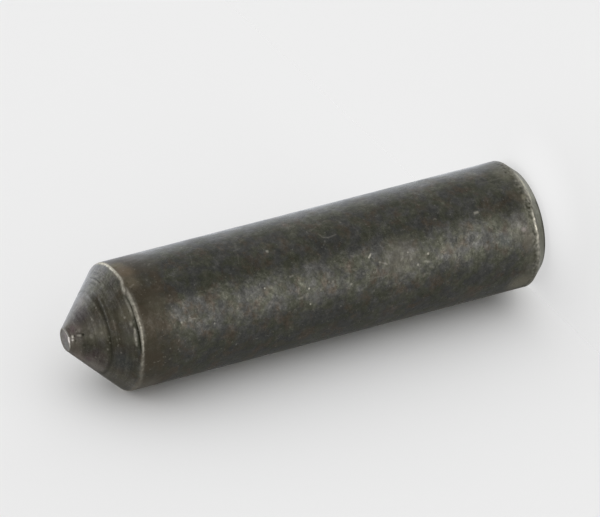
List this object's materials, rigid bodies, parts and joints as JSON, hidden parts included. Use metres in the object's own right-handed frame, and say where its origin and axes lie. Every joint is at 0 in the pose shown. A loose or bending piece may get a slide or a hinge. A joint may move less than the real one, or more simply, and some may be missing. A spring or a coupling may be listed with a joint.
{
  "type": "shear pin",
  "caption": "Turned steel shear pin: a plain blackened shank with a blunted conical point at one end and a chamfered flat face at the other.",
  "frame": {"origin": "centre of the flat, chamfered end face, which the pin stands on", "axes": "+Z along the pin's axis, towards its conical point"},
  "size_m": [0.0064, 0.0064, 0.0247],
  "materials": {
    "blackened_steel": "satin black oxide with an oily brown cast, worn bright at the edges"
  },
  "bodies": {
    "root": {"shear_pin": "blackened_steel"}
  },
  "joints": []
}
